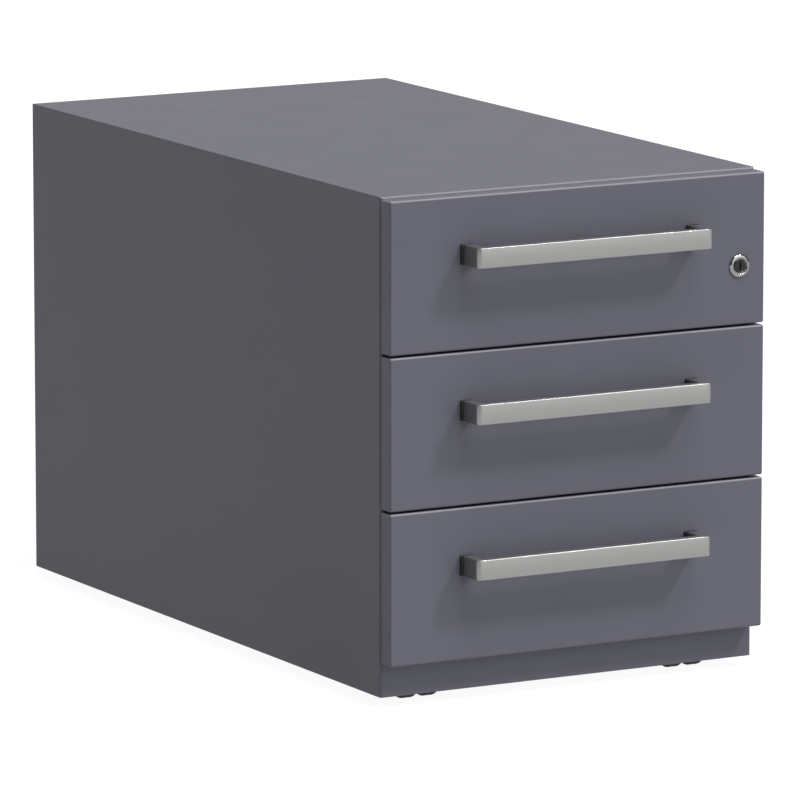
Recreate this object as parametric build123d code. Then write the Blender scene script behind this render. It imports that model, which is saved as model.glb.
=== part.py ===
from build123d import *

import os
from math import cos, radians, sin

# Rolling pedestal cabinet: a sheet steel carcass on four twin-wheel castors, with three
# drawers of equal height on telescopic rails, a bow handle on each drawer, and one lock
# in the top drawer that works a lock bar inside the right-hand side.
# Millimetres, +Z up, fronts facing -Y, origin on the floor under the middle of the object.

# ---- driving dimensions ----
WIDTH = 420.0
HEIGHT = 502.0
CARCASS_DEPTH = 755.0
FRONT_GAP = 2.0
FRONT_THICKNESS = 18.0
HANDLE_REACH = 33.0
GROUND_CLEARANCE = 11.5
SHEET = 1.0

# ---- working margins ----
OVERCUT = 1.0
WELD_LAP = 0.01

# ---- places along Y, from the front of the handles to the back ----
HALF_DEPTH = (CARCASS_DEPTH + FRONT_GAP + FRONT_THICKNESS + HANDLE_REACH) / 2
Y_REAR = HALF_DEPTH
Y_CARCASS = Y_REAR - CARCASS_DEPTH
Y_LINER = Y_CARCASS - FRONT_GAP
Y_FACE = Y_LINER - FRONT_THICKNESS
Y_GRIP = Y_FACE - HANDLE_REACH

# ---- carcass ----
X_SIDE = WIDTH / 2
SIDE_BEND = 3.0
SIDE_FLANGE = 13.0
TOP_SHEET = 1.2
TOP_BEND = 2.5
TOP_FLANGE = 14.0
FLANGE_DROP = 1.4
FLANGE_TOP = HEIGHT - TOP_FLANGE - FLANGE_DROP
FLANGE_BOTTOM = 62.3
BEND_GAP = 0.1
BEND_END = X_SIDE - SIDE_BEND - BEND_GAP
SIDE_TOP = HEIGHT - TOP_SHEET
PLINTH_TOP = 62.0
PLINTH_RETURN = 10.0
BASE_SHEET = 1.5
BASE_TOP = 56.0
BASE_RIM = 8.0
INSIDE_GAP = 0.2

# ---- drawers ----
FRONT_BOTTOM = 45.0
FRONT_HEIGHT = 150.2
DRAWER_PITCH = 152.5
FRONT_EDGE = 2.0
DRAWERS = (1, 2, 3)
LINER_FIT = 0.2
LINER_RIM = 6.0
TRAY_HALF = 168.0
TRAY_REAR = 330.0
TRAY_LIFT = 18.0
TRAY_HEIGHT = 110.0
TRAY_RIM = 6.0
TRAY_SEAM = 0.02

# ---- telescopic rails ----
RAIL_DEPTH = 12.7
RAIL_SHEET = 1.2
RAIL_LIFT = 30.0
RAIL_FRONT = -345.0
RAIL_REAR = 345.0
OUTER_HALF = 22.5
OUTER_LIP = 3.4
OUTER_REACH = 10.5
MID_HALF = 19.2
MID_WEB = 9.0
MID_DEPTH = 6.4
MID_INSET = 2.0
INNER_HALF = 16.0
INNER_DEPTH = 8.0
INNER_REAR = 329.0
POST_SHEET = 1.5
POST_WIDTH = 38.0
FRONT_POST = -330.0
REAR_POST = 290.0

# ---- handles ----
HANDLE_HALF = 131.5
HANDLE_HEIGHT = 20.0
HANDLE_SECTION = 9.5
HANDLE_LEG = 10.0
HANDLE_DROP = 56.7
HANDLE_BEND = 5.0
HANDLE_INNER_BEND = 3.0
HANDLE_EDGE = 2.2
PAD_PROUD = 1.8
PAD_THICKNESS = 3.6
PAD_CORNER = 1.5
HANDLE_SCREW_X = HANDLE_HALF - HANDLE_LEG / 2
SCREW_R = 1.95
SCREW_HOLE_R = 2.0
SCREW_CLEARANCE_R = 2.25
SCREW_REACH = 13.0
SCREW_HOLE_DEPTH = 14.5
SCREW_HEAD_R = 3.5
SCREW_HEAD = 2.5
SCREW_RECESS_R = 1.2
SCREW_ACCESS_R = 6.0

# ---- lock ----
LOCK_X = 181.0
LOCK_Z = 408.5
BEZEL_R = 11.5
BEZEL_PROUD = 2.4
BEZEL_EDGE = 1.0
LOCK_BODY_R = 9.5
LOCK_BORE_R = 7.05
PLUG_R = 7.0
PLUG_RECESS = 0.4
LOCK_FIT = 0.05
LOCK_BODY_REAR = -350.2
PLUG_REAR = -350.0
NUT_FLATS = 22.0
NUT_THICKNESS = 2.5
KEYWAY_WIDTH = 2.0
KEYWAY_HEIGHT = 8.5
KEYWAY_DEPTH = 12.0
CAM_FRONT = -349.4
CAM_THICKNESS = 2.0
CAM_HUB_R = 7.0
CAM_TIP_R = 4.5
CAM_RADIUS = 16.0
CAM_REST_ANGLE = -45.0
CAM_PIN_R = 2.5
CAM_PIN_END = -340.5
TAIL_R = 3.5
TAIL_END = -346.8

# ---- lock bar and the hooks that it catches ----
BAR_LEFT = 184.5
BAR_RIGHT = 203.5
BAR_FRONT = -344.0
BAR_THICKNESS = 2.0
BAR_BOTTOM = 70.0
BAR_TOP = 476.0
BAR_TRAVEL = 2 * CAM_RADIUS * sin(radians(-CAM_REST_ANGLE))
PIN_SLOT_HALF_HEIGHT = 3.6
PIN_SLOT_LEFT = 188.5
PIN_SLOT_RIGHT = 200.5
HOOK_LEFT = 188.0
HOOK_RIGHT = 194.0
HOOK_SHEET = 2.0
HOOK_LIFT = 110.0
HOOK_DROP = 8.0
HOOK_REAR = -338.0
HOOK_FOOT = 1.5
HOOK_CLEARANCE = 1.5
GUIDE_PLACES = (90.0, 240.0, 360.0)
GUIDE_HEIGHT = 12.0
GUIDE_WALL = 2.1
GUIDE_FIT = 0.3

# ---- stops between the fronts and the carcass ----
BUFFER_R = 4.0
BUFFER_X = 202.0
BUFFER_GAP = 0.1
BUFFER_LIFTS = (25.0, 125.0)

# ---- castors ----
WHEEL_R = 20.0
WHEEL_WIDTH = 14.5
WHEEL_INNER = 4.5
WHEEL_EDGE = 2.5
WHEEL_DISH_R = 14.5
WHEEL_DISH_HUB_R = 5.0
WHEEL_DISH = 2.0
AXLE_R = 2.5
AXLE_FIT = 0.05
AXLE_HALF = 15.0
AXLE_END_GAP = 0.5
CASTOR_X = 151.0
CASTOR_INSET = 56.0
CASTOR_TRAIL = 17.0
HOOD_INNER_R = 21.2
HOOD_OUTER_R = 23.2
HOOD_HALF = 19.0
HOOD_BOTTOM = 24.0
WEB_HALF = 3.8
WEB_BOTTOM = 13.0
BOSS_R = 8.5
BOSS_TOP = 47.5
PIVOT_R = 4.0
PIVOT_FIT = 0.05
PIVOT_TOP = 54.2
PLATE_HALF = 29.0
PLATE_THICKNESS = 2.5
PLATE_CORNER = 5.0
COLLAR_R = 9.0
COLLAR_BOTTOM = 48.0
CASTOR_SCREW_SPREAD = 22.0
CASTOR_SCREW_R = 2.45
CASTOR_SCREW_HOLE_R = 2.5
CASTOR_SCREW_HEAD_R = 4.5
CASTOR_SCREW_HEAD = 2.5
CASTOR_SCREW_TOP = 60.0


def block(x_low, x_high, y_low, y_high, z_low, z_high):
    """A box from its limits on each axis."""
    centre = Pos((x_low + x_high) / 2, (y_low + y_high) / 2, (z_low + z_high) / 2)
    return centre * Box(x_high - x_low, y_high - y_low, z_high - z_low)


def bar_x(x_low, x_high, y, z, radius):
    """A round bar along X."""
    return Pos((x_low + x_high) / 2, y, z) * Rot(0, 90, 0) * Cylinder(radius, x_high - x_low)


def bar_y(x, y_low, y_high, z, radius):
    """A round bar along Y."""
    return Pos(x, (y_low + y_high) / 2, z) * Rot(90, 0, 0) * Cylinder(radius, y_high - y_low)


def bar_z(x, y, z_low, z_high, radius):
    """A round bar along Z."""
    return Pos(x, y, (z_low + z_high) / 2) * Cylinder(radius, z_high - z_low)


def mirrored(shape):
    """The shape and its reflection on the other side of the object's middle plane."""
    return shape + mirror(shape, about=Plane.YZ)


def folded(outside, inside, radius, thickness):
    """The section of a folded sheet, from its outside line and its inside line."""
    outer = FilletPolyline(*outside, radius=radius)
    inner = FilletPolyline(*inside, radius=radius - thickness)
    ends = [Line(outside[0], inside[0]), Line(outside[-1], inside[-1])]
    return make_face(outer.edges() + inner.edges() + ends)


# ---- carcass pieces ----
def side_panel():
    """The left side: one sheet with bends down both upright edges and a flange at each."""
    x_in = -X_SIDE + SHEET
    x_end = -X_SIDE + SIDE_BEND
    x_lap = x_end + WELD_LAP
    outside = [(x_lap, Y_CARCASS), (-X_SIDE, Y_CARCASS), (-X_SIDE, Y_REAR), (x_lap, Y_REAR)]
    inside = [
        (x_lap, Y_CARCASS + SHEET),
        (x_in, Y_CARCASS + SHEET),
        (x_in, Y_REAR - SHEET),
        (x_lap, Y_REAR - SHEET),
    ]
    section = folded(outside, inside, SIDE_BEND, SHEET)
    skin = Pos(0, 0, GROUND_CLEARANCE) * extrude(section, SIDE_TOP - GROUND_CLEARANCE)
    x_flange = -X_SIDE + SIDE_FLANGE
    front = block(x_end, x_flange, Y_CARCASS, Y_CARCASS + SHEET, FLANGE_BOTTOM, FLANGE_TOP)
    rear = block(x_end, x_flange, Y_REAR - SHEET, Y_REAR, GROUND_CLEARANCE, FLANGE_TOP)
    return skin + front + rear


def top_panel():
    """The top sheet, folded down between the sides at the front and the back, its corners round."""
    outside = [
        (Y_CARCASS, HEIGHT - TOP_FLANGE),
        (Y_CARCASS, HEIGHT),
        (Y_REAR, HEIGHT),
        (Y_REAR, HEIGHT - TOP_FLANGE),
    ]
    inside = [
        (Y_CARCASS + TOP_SHEET, HEIGHT - TOP_FLANGE),
        (Y_CARCASS + TOP_SHEET, HEIGHT - TOP_SHEET),
        (Y_REAR - TOP_SHEET, HEIGHT - TOP_SHEET),
        (Y_REAR - TOP_SHEET, HEIGHT - TOP_FLANGE),
    ]
    section = Plane.YZ * folded(outside, inside, TOP_BEND, TOP_SHEET)
    lid = Pos(-X_SIDE, 0, 0) * extrude(section, WIDTH)
    for side in (-1, 1):
        ends = sorted((side * BEND_END, side * (X_SIDE + OVERCUT)))
        lid -= block(ends[0], ends[1], Y_CARCASS - OVERCUT, Y_REAR + OVERCUT, 0, SIDE_TOP)
    outline = RectangleRounded(WIDTH, CARCASS_DEPTH, SIDE_BEND)
    rounded = Pos(0, (Y_CARCASS + Y_REAR) / 2, 0) * extrude(outline, HEIGHT + OVERCUT)
    return lid & rounded


def back_panel():
    """The back sheet, held behind the rear flanges."""
    y_high = Y_REAR - TOP_SHEET - INSIDE_GAP
    x_half = X_SIDE - SIDE_BEND
    z_high = HEIGHT - TOP_BEND - INSIDE_GAP
    return block(-x_half, x_half, y_high - SHEET, y_high, GROUND_CLEARANCE, z_high)


def base_panel():
    """The floor of the carcass, with a rim down each side and holes for the castor screws."""
    x_half = X_SIDE - SHEET - INSIDE_GAP
    y_low = Y_CARCASS + SIDE_BEND
    y_high = Y_REAR - TOP_SHEET - SHEET - 2 * INSIDE_GAP
    base = block(-x_half, x_half, y_low, y_high, BASE_TOP - BASE_SHEET, BASE_TOP)
    rim = block(x_half - BASE_SHEET, x_half, y_low, y_high, BASE_TOP - BASE_RIM, BASE_TOP)
    base += mirrored(rim)
    for x, y in castor_screw_places():
        base -= bar_z(x, y, BASE_TOP - 2 * BASE_SHEET, BASE_TOP + OVERCUT, CASTOR_SCREW_HOLE_R)
    return base


def plinth_panel():
    """The sheet across the front below the drawers, folded back along its lower edge."""
    skin = block(-BEND_END, BEND_END, Y_CARCASS, Y_CARCASS + SHEET, GROUND_CLEARANCE, PLINTH_TOP)
    y_return = Y_CARCASS + PLINTH_RETURN
    lip = block(-BEND_END, BEND_END, Y_CARCASS, y_return, GROUND_CLEARANCE, GROUND_CLEARANCE + SHEET)
    return skin + lip


def rail_posts():
    """Four upright channels that carry the rails, two on each side."""
    x_web = TRAY_HALF + RAIL_DEPTH
    x_side = X_SIDE - SHEET
    posts = Part()
    for y in (FRONT_POST, REAR_POST):
        post = block(x_web, x_side, y, y + POST_WIDTH, BASE_TOP, SIDE_TOP)
        hollow_y = (y + POST_SHEET, y + POST_WIDTH - POST_SHEET)
        post -= block(x_web + POST_SHEET, x_side + OVERCUT, hollow_y[0], hollow_y[1], 0, HEIGHT)
        posts += post
    return mirrored(posts)


def front_buffers():
    """Soft stops on the front flanges, two beside each drawer front on each side."""
    pads = Part()
    for number in DRAWERS:
        for lift in BUFFER_LIFTS:
            z = front_bottom(number) + lift
            pads += bar_y(BUFFER_X, Y_LINER + BUFFER_GAP, Y_CARCASS, z, BUFFER_R)
    return mirrored(pads)


# ---- rails ----
def channel(x_web, x_tip, half_height, y_low, y_high, z):
    """A rail member: a web on edge at x_web, with a flange out to x_tip above and below."""
    step = RAIL_SHEET if x_tip > x_web else -RAIL_SHEET
    web_x = sorted((x_web, x_web + step))
    tip_x = sorted((x_web, x_tip))
    member = block(web_x[0], web_x[1], y_low, y_high, z - half_height, z + half_height)
    for side in (-1, 1):
        edges = sorted((z + side * half_height, z + side * (half_height - RAIL_SHEET)))
        member += block(tip_x[0], tip_x[1], y_low, y_high, edges[0], edges[1])
    return member


def outer_rails(number):
    """The pair of rail members fixed to the posts."""
    z = rail_height(number)
    x_web = TRAY_HALF + RAIL_DEPTH
    x_tip = x_web - OUTER_REACH
    rail = channel(x_web, x_tip, OUTER_HALF, RAIL_FRONT, RAIL_REAR, z)
    for side in (-1, 1):
        edges = sorted((z + side * OUTER_HALF, z + side * (OUTER_HALF - OUTER_LIP)))
        rail += block(x_tip, x_tip + RAIL_SHEET, RAIL_FRONT, RAIL_REAR, edges[0], edges[1])
    return mirrored(rail)


def mid_rails(number):
    """The pair of rail members that run between the fixed members and the drawer's."""
    x_web = TRAY_HALF + MID_WEB + RAIL_SHEET
    y_low = RAIL_FRONT + MID_INSET
    y_high = RAIL_REAR - MID_INSET
    rail = channel(x_web, x_web - MID_DEPTH, MID_HALF, y_low, y_high, rail_height(number))
    return mirrored(rail)


def inner_rails(number):
    """The pair of rail members fixed to the sides of the drawer's tray."""
    x_tip = TRAY_HALF + INNER_DEPTH
    rail = channel(TRAY_HALF, x_tip, INNER_HALF, RAIL_FRONT, INNER_REAR, rail_height(number))
    return mirrored(rail)


# ---- drawers ----
def front_bottom(number):
    """Height of the lower edge of a drawer front; drawer 1 is at the top."""
    return FRONT_BOTTOM + (len(DRAWERS) - number) * DRAWER_PITCH


def tray_bottom(number):
    """Height of the underside of a drawer's tray."""
    return front_bottom(number) + TRAY_LIFT


def rail_height(number):
    """Height of the middle of a drawer's rails."""
    return tray_bottom(number) + RAIL_LIFT


def handle_height(number):
    """Height of the middle of a drawer's handle."""
    return front_bottom(number) + FRONT_HEIGHT - HANDLE_DROP


def drawer_front(number):
    """The visible front: a folded pan, open at the back, drilled for the handle."""
    z_low = front_bottom(number)
    z_high = z_low + FRONT_HEIGHT
    pan = block(-X_SIDE, X_SIDE, Y_FACE, Y_LINER, z_low, z_high)
    rounded = pan.faces().sort_by(Axis.Y)[0].edges() + pan.edges().filter_by(Axis.Y)
    pan = fillet(rounded, FRONT_EDGE)
    x_in = X_SIDE - SHEET
    pan -= block(-x_in, x_in, Y_FACE + SHEET, Y_LINER + OVERCUT, z_low + SHEET, z_high - SHEET)
    for x in (-HANDLE_SCREW_X, HANDLE_SCREW_X):
        pan -= bar_y(x, Y_FACE - OVERCUT, Y_FACE + 2 * SHEET, handle_height(number), SCREW_CLEARANCE_R)
    if number == 1:
        pan -= bar_y(LOCK_X, Y_FACE - OVERCUT, Y_FACE + 2 * SHEET, LOCK_Z, LOCK_BODY_R + LOCK_FIT)
    return pan


def front_liner(number):
    """The sheet that closes the back of the drawer front, with holes to reach the screws."""
    x_half = X_SIDE - SHEET - LINER_FIT
    z_low = front_bottom(number) + SHEET + LINER_FIT
    z_high = front_bottom(number) + FRONT_HEIGHT - SHEET - LINER_FIT
    y_rim = Y_LINER - SHEET - LINER_RIM
    liner = block(-x_half, x_half, y_rim, Y_LINER, z_low, z_high)
    x_in = x_half - SHEET
    liner -= block(-x_in, x_in, y_rim - OVERCUT, Y_LINER - SHEET, z_low + SHEET, z_high - SHEET)
    for x in (-HANDLE_SCREW_X, HANDLE_SCREW_X):
        liner -= bar_y(x, Y_LINER - 2 * SHEET, Y_LINER + OVERCUT, handle_height(number), SCREW_ACCESS_R)
    if number == 1:
        liner -= bar_y(LOCK_X, Y_LINER - 2 * SHEET, Y_LINER + OVERCUT, LOCK_Z, LOCK_BODY_R + LOCK_FIT)
    return liner


def tray(number):
    """The drawer's open steel tray: a floor, a front, a back, and sides with a rim folded out."""
    z_low = tray_bottom(number)
    z_high = z_low + TRAY_HEIGHT
    z_wall = z_low + SHEET + TRAY_SEAM
    x_in = TRAY_HALF - SHEET
    x_end = x_in - TRAY_SEAM
    floor = block(-x_end, x_end, Y_LINER, TRAY_REAR, z_low, z_low + SHEET)
    back = block(-x_end, x_end, TRAY_REAR - SHEET, TRAY_REAR, z_wall, z_high)
    front = block(-x_end, x_end, Y_LINER, Y_LINER + SHEET, z_wall, z_high)
    for x in (-HANDLE_SCREW_X, HANDLE_SCREW_X):
        front -= bar_y(x, Y_LINER - OVERCUT, Y_LINER + 2 * SHEET, handle_height(number), SCREW_ACCESS_R)
    side = block(x_in, TRAY_HALF, Y_LINER, TRAY_REAR, z_low, z_high)
    side += block(x_in, TRAY_HALF + TRAY_RIM, Y_LINER, TRAY_REAR, z_high - SHEET, z_high)
    return floor + back + front + mirrored(side)


def handle_bow():
    """The bow itself, about its own middle height: a flat bar turned back into two legs."""
    y_inner = Y_GRIP + HANDLE_SECTION
    x_inner = HANDLE_HALF - HANDLE_LEG
    bow = block(-HANDLE_HALF, HANDLE_HALF, Y_GRIP, Y_FACE, -HANDLE_HEIGHT / 2, HANDLE_HEIGHT / 2)
    bow = fillet(bow.faces().sort_by(Axis.Y)[0].edges().filter_by(Axis.Z), HANDLE_BEND)
    gap = block(-x_inner, x_inner, y_inner, Y_FACE + OVERCUT, -HANDLE_HEIGHT, HANDLE_HEIGHT)
    gap = fillet(gap.faces().sort_by(Axis.Y)[0].edges().filter_by(Axis.Z), HANDLE_INNER_BEND)
    bow -= gap
    flats = bow.faces().filter_by(Axis.Z)
    long_edges = [edge for edge in flats.edges() if edge.center().Y < Y_FACE - WELD_LAP]
    return fillet(long_edges, HANDLE_EDGE)


def handle_pad():
    """The pad between the right-hand leg and the drawer front."""
    x_low = HANDLE_HALF - HANDLE_LEG - PAD_PROUD
    x_high = HANDLE_HALF + PAD_PROUD
    pad = block(x_low, x_high, Y_FACE - PAD_THICKNESS, Y_FACE, -HANDLE_HEIGHT / 2, HANDLE_HEIGHT / 2)
    return fillet(pad.edges().filter_by(Axis.Y), PAD_CORNER)


def handle(number):
    """A drawer's bow handle with its two pads and the threaded holes in its legs."""
    z = handle_height(number)
    grip = Pos(0, 0, z) * (handle_bow() + mirrored(handle_pad()))
    for x in (-HANDLE_SCREW_X, HANDLE_SCREW_X):
        grip -= bar_y(x, Y_FACE - SCREW_HOLE_DEPTH, Y_FACE + OVERCUT, z, SCREW_HOLE_R)
    return grip


def handle_screws(number):
    """The two screws that hold a handle from inside the drawer front."""
    z = handle_height(number)
    y_seat = Y_FACE + SHEET
    screw = bar_y(HANDLE_SCREW_X, Y_FACE - SCREW_REACH, y_seat, z, SCREW_R)
    head = bar_y(HANDLE_SCREW_X, y_seat, y_seat + SCREW_HEAD, z, SCREW_HEAD_R)
    recess = bar_y(HANDLE_SCREW_X, y_seat + SCREW_HEAD / 2, y_seat + SCREW_HEAD + OVERCUT, z, SCREW_RECESS_R)
    return mirrored(screw + head - recess)


def catch_hook(number):
    """The folded hook behind a drawer front that the lock bar catches."""
    z = hook_height(number)
    y_foot = Y_LINER + HOOK_FOOT
    shank = block(HOOK_LEFT, HOOK_RIGHT, Y_LINER, HOOK_REAR, z, z + HOOK_SHEET)
    foot = block(HOOK_LEFT, HOOK_RIGHT, Y_LINER, y_foot, z - HOOK_DROP, z + HOOK_SHEET)
    beak = block(HOOK_LEFT, HOOK_RIGHT, HOOK_REAR - HOOK_SHEET, HOOK_REAR, z - HOOK_DROP, z + HOOK_SHEET)
    return shank + foot + beak


def hook_height(number):
    """Height of the underside of a catch hook's shank."""
    return front_bottom(number) + HOOK_LIFT


# ---- lock ----
def lock_body():
    """The lock's barrel, with its round bezel on the drawer front and its bore."""
    y_bezel = Y_FACE - BEZEL_PROUD
    bezel = bar_y(LOCK_X, y_bezel, Y_FACE, LOCK_Z, BEZEL_R)
    bezel = fillet(bezel.faces().sort_by(Axis.Y)[0].edges(), BEZEL_EDGE)
    barrel = bar_y(LOCK_X, Y_FACE, LOCK_BODY_REAR, LOCK_Z, LOCK_BODY_R)
    bore = bar_y(LOCK_X, y_bezel - OVERCUT, LOCK_BODY_REAR + OVERCUT, LOCK_Z, LOCK_BORE_R)
    return bezel + barrel - bore


def lock_nut():
    """The hexagon nut that clamps the lock's barrel behind the liner."""
    corner_r = NUT_FLATS / 2 / cos(radians(30))
    section = RegularPolygon(corner_r, 6, rotation=30)
    y_middle = Y_LINER + NUT_THICKNESS / 2
    nut = Pos(LOCK_X, y_middle, LOCK_Z) * Rot(90, 0, 0) * extrude(section, NUT_THICKNESS / 2, both=True)
    y_end = Y_LINER + NUT_THICKNESS + OVERCUT
    return nut - bar_y(LOCK_X, Y_LINER - OVERCUT, y_end, LOCK_Z, LOCK_BODY_R + LOCK_FIT)


def lock_plug():
    """The turning plug, with its keyway and the tail that carries the cam."""
    y_front = Y_FACE - BEZEL_PROUD + PLUG_RECESS
    plug = bar_y(LOCK_X, y_front, PLUG_REAR, LOCK_Z, PLUG_R)
    plug += bar_y(LOCK_X, PLUG_REAR, TAIL_END, LOCK_Z, TAIL_R)
    key_x = (LOCK_X - KEYWAY_WIDTH / 2, LOCK_X + KEYWAY_WIDTH / 2)
    key_z = (LOCK_Z - KEYWAY_HEIGHT / 2, LOCK_Z + KEYWAY_HEIGHT / 2)
    y_key = (y_front - OVERCUT, y_front + KEYWAY_DEPTH)
    return plug - block(key_x[0], key_x[1], y_key[0], y_key[1], key_z[0], key_z[1])


def lock_cam():
    """The cam on the plug's tail, with the pin that lifts the lock bar."""
    y_rear = CAM_FRONT + CAM_THICKNESS
    angle = radians(CAM_REST_ANGLE)
    pin_x = LOCK_X + CAM_RADIUS * cos(angle)
    pin_z = LOCK_Z + CAM_RADIUS * sin(angle)
    hub = bar_y(LOCK_X, CAM_FRONT, y_rear, LOCK_Z, CAM_HUB_R)
    tip = bar_y(pin_x, CAM_FRONT, y_rear, pin_z, CAM_TIP_R)
    arm = block(0, CAM_RADIUS, CAM_FRONT, y_rear, -CAM_TIP_R, CAM_TIP_R)
    arm = Pos(LOCK_X, 0, LOCK_Z) * Rot(0, -CAM_REST_ANGLE, 0) * arm
    pin = bar_y(pin_x, y_rear, CAM_PIN_END, pin_z, CAM_PIN_R)
    tail_hole = bar_y(LOCK_X, CAM_FRONT - OVERCUT, y_rear + OVERCUT, LOCK_Z, TAIL_R)
    return hub + arm + tip + pin - tail_hole


def lock_bar():
    """The upright bar, with a slot for the cam's pin and a window for each hook."""
    y_rear = BAR_FRONT + BAR_THICKNESS
    bar = block(BAR_LEFT, BAR_RIGHT, BAR_FRONT, y_rear, BAR_BOTTOM, BAR_TOP)
    pin_z = LOCK_Z - BAR_TRAVEL / 2
    slot_z = (pin_z - PIN_SLOT_HALF_HEIGHT, pin_z + PIN_SLOT_HALF_HEIGHT)
    cut_y = (BAR_FRONT - OVERCUT, y_rear + OVERCUT)
    bar -= block(PIN_SLOT_LEFT, PIN_SLOT_RIGHT, cut_y[0], cut_y[1], slot_z[0], slot_z[1])
    for number in DRAWERS:
        z_low = hook_height(number) - BAR_TRAVEL - HOOK_CLEARANCE
        z_high = hook_height(number) + HOOK_SHEET + HOOK_CLEARANCE
        window_x = (HOOK_LEFT - HOOK_CLEARANCE, HOOK_RIGHT + HOOK_CLEARANCE)
        bar -= block(window_x[0], window_x[1], cut_y[0], cut_y[1], z_low, z_high)
    return bar


def lock_bar_guides():
    """The plastic guides on the front post that the lock bar slides in."""
    guides = Part()
    outer_x = (BAR_LEFT - GUIDE_WALL, BAR_RIGHT + GUIDE_WALL)
    slot_x = (BAR_LEFT - GUIDE_FIT, BAR_RIGHT + GUIDE_FIT)
    slot_y = (BAR_FRONT - GUIDE_FIT, BAR_FRONT + BAR_THICKNESS + GUIDE_FIT)
    for z in GUIDE_PLACES:
        z_high = z + GUIDE_HEIGHT
        guide = block(outer_x[0], outer_x[1], slot_y[0] - GUIDE_WALL, FRONT_POST, z, z_high)
        guide -= block(slot_x[0], slot_x[1], slot_y[0], slot_y[1], z - OVERCUT, z_high + OVERCUT)
        guides += guide
    return guides


# ---- castors ----
def castor_places():
    """Name and pivot position of each castor."""
    places = {}
    for end, y in (("front", Y_CARCASS + CASTOR_INSET), ("rear", Y_REAR - CASTOR_INSET)):
        for side, x in (("left", -CASTOR_X), ("right", CASTOR_X)):
            places[f"{end}_{side}"] = (x, y)
    return places


def castor_screw_places():
    """Positions of the castor screws, four round each pivot."""
    spread = (-CASTOR_SCREW_SPREAD, CASTOR_SCREW_SPREAD)
    return [(x + dx, y + dy) for x, y in castor_places().values() for dx in spread for dy in spread]


def castor_plates():
    """The four castor plates under the base, each with a collar for its pivot pin."""
    plates = Part()
    z_high = BASE_TOP - BASE_SHEET
    z_low = z_high - PLATE_THICKNESS
    for x, y in castor_places().values():
        plate = block(x - PLATE_HALF, x + PLATE_HALF, y - PLATE_HALF, y + PLATE_HALF, z_low, z_high)
        plate = fillet(plate.edges().filter_by(Axis.Z), PLATE_CORNER)
        plate += bar_z(x, y, COLLAR_BOTTOM, z_low, COLLAR_R)
        plates += plate - bar_z(x, y, COLLAR_BOTTOM - OVERCUT, z_high + OVERCUT, PIVOT_R + PIVOT_FIT)
    for x, y in castor_screw_places():
        plates -= bar_z(x, y, z_low - OVERCUT, z_high + OVERCUT, CASTOR_SCREW_HOLE_R)
    return plates


def castor_screws():
    """The screws that hold the castor plates to the base."""
    screws = Part()
    z_seat = BASE_TOP - BASE_SHEET - PLATE_THICKNESS
    for x, y in castor_screw_places():
        shank = bar_z(x, y, z_seat, CASTOR_SCREW_TOP, CASTOR_SCREW_R)
        screws += shank + bar_z(x, y, z_seat - CASTOR_SCREW_HEAD, z_seat, CASTOR_SCREW_HEAD_R)
    return screws


def castor_hood(x, y):
    """The swivelling hood of one castor: fender, middle web, pivot boss and pin."""
    y_axle = y - CASTOR_TRAIL
    x_cut = (x - HOOD_HALF - OVERCUT, x + HOOD_HALF + OVERCUT)
    y_keep = (y_axle - 2 * HOOD_OUTER_R, y_axle + 2 * HOOD_OUTER_R)
    inner = bar_x(x_cut[0], x_cut[1], y_axle, WHEEL_R, HOOD_INNER_R)
    keep = block(x - HOOD_HALF, x + HOOD_HALF, y_keep[0], y_keep[1], HOOD_BOTTOM, BOSS_TOP)
    fender = bar_x(x - HOOD_HALF, x + HOOD_HALF, y_axle, WHEEL_R, HOOD_OUTER_R) & keep
    boss = bar_z(x, y, HOOD_BOTTOM, BOSS_TOP, BOSS_R)
    shell = fender + boss - inner
    web_keep = block(x - WEB_HALF, x + WEB_HALF, y_keep[0], y_keep[1], WEB_BOTTOM, BOSS_TOP)
    web = bar_x(x - WEB_HALF, x + WEB_HALF, y_axle, WHEEL_R, HOOD_OUTER_R) & web_keep
    pin = bar_z(x, y, BOSS_TOP - OVERCUT, PIVOT_TOP, PIVOT_R)
    axle_hole = bar_x(x_cut[0], x_cut[1], y_axle, WHEEL_R, AXLE_R + AXLE_FIT)
    return shell + web + pin - axle_hole


def castor_axle(x, y):
    """The axle that both wheels of a castor turn on."""
    return bar_x(x - AXLE_HALF, x + AXLE_HALF, y - CASTOR_TRAIL, WHEEL_R, AXLE_R)


def castor_wheel(x, y, side):
    """One wheel, rounded at its tread and dished on its outer face; side is -1 or 1."""
    y_axle = y - CASTOR_TRAIL
    limits = sorted((x + side * WHEEL_INNER, x + side * (WHEEL_INNER + WHEEL_WIDTH)))
    wheel = bar_x(limits[0], limits[1], y_axle, WHEEL_R, WHEEL_R)
    wheel = fillet(wheel.edges().filter_by(GeomType.CIRCLE), WHEEL_EDGE)
    x_face = x + side * (WHEEL_INNER + WHEEL_WIDTH)
    dish_x = sorted((x_face - side * WHEEL_DISH, x_face + side))
    dish = bar_x(dish_x[0], dish_x[1], y_axle, WHEEL_R, WHEEL_DISH_R)
    dish -= bar_x(dish_x[0] - OVERCUT, dish_x[1] + OVERCUT, y_axle, WHEEL_R, WHEEL_DISH_HUB_R)
    bore_x = sorted((x, x + side * (AXLE_HALF + AXLE_END_GAP)))
    return wheel - dish - bar_x(bore_x[0], bore_x[1], y_axle, WHEEL_R, AXLE_R + AXLE_FIT)


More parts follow.
